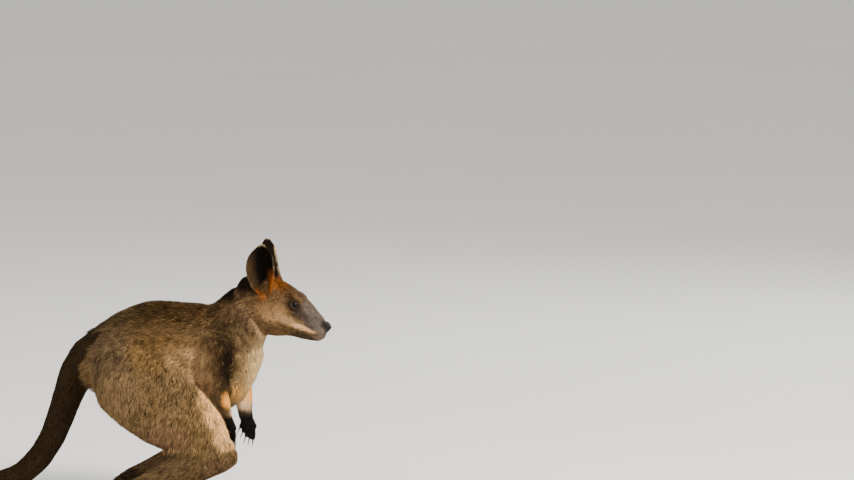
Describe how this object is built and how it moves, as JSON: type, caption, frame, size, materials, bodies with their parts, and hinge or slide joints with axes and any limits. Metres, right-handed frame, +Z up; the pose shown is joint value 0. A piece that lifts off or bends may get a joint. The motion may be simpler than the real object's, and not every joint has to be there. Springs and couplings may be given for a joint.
{
  "type": "wallaby",
  "caption": "Swamp wallaby crouched on long hind feet with a thick dark tail laid behind, hands hanging, neck raised and upright rounded ears.",
  "frame": {"origin": "on the floor, under the middle of the animal's outer box", "axes": "+X to the animal's front, along its length from tail to nose; +Y to its left; +Z up"},
  "size_m": [0.9482, 0.2272, 0.479],
  "materials": {
    "body_coat": "dense short fur, brown peppered with tan and black",
    "face_coat": "very short fur, rufous crown, grey muzzle, pale cheek stripe",
    "ear_coat": "velvety near-black fur with a pale rim and an orange foot",
    "tail_coat": "coarse black-brown fur",
    "leg_coat": "dense fur, rufous-brown at the rump, cream at the knee",
    "dark_coat": "short black-brown fur over hands and feet",
    "nose_skin": "moist, finely pebbled bare skin",
    "eye": "wet and glossy, dark brown",
    "claw": "satin dark horn"
  },
  "bodies": {
    "root": {"head": "face_coat", "jaw": "face_coat", "nose": "nose_skin", "eye_right": "eye", "eye_left": "eye", "ear_right": "ear_coat", "ear_left": "ear_coat", "neck": "body_coat", "trunk": "body_coat", "tail_base": "tail_coat", "tail_middle": "tail_coat", "tail_tip": "tail_coat", "claw_1_left_hand": "claw", "claw_1_right_hand": "claw", "claw_2_left_hand": "claw", "claw_2_right_hand": "claw", "claw_3_left_hand": "claw", "claw_3_right_hand": "claw", "claw_4_left_hand": "claw", "claw_4_right_hand": "claw", "claw_5_left_hand": "claw", "claw_5_right_hand": "claw", "claw_fifth_left_foot": "claw", "claw_fifth_right_foot": "claw", "claw_fourth_left_foot": "claw", "claw_fourth_right_foot": "claw", "claw_second_left_foot": "claw", "claw_second_right_foot": "claw", "claw_third_left_foot": "claw", "claw_third_right_foot": "claw", "foot_left": "dark_coat", "foot_right": "dark_coat", "forearm_left": "dark_coat", "forearm_right": "dark_coat", "hand_left": "dark_coat", "hand_right": "dark_coat", "shin_left": "leg_coat", "shin_right": "leg_coat", "thigh_left": "leg_coat", "thigh_right": "leg_coat", "upper_arm_left": "body_coat", "upper_arm_right": "body_coat"}
  },
  "joints": []
}
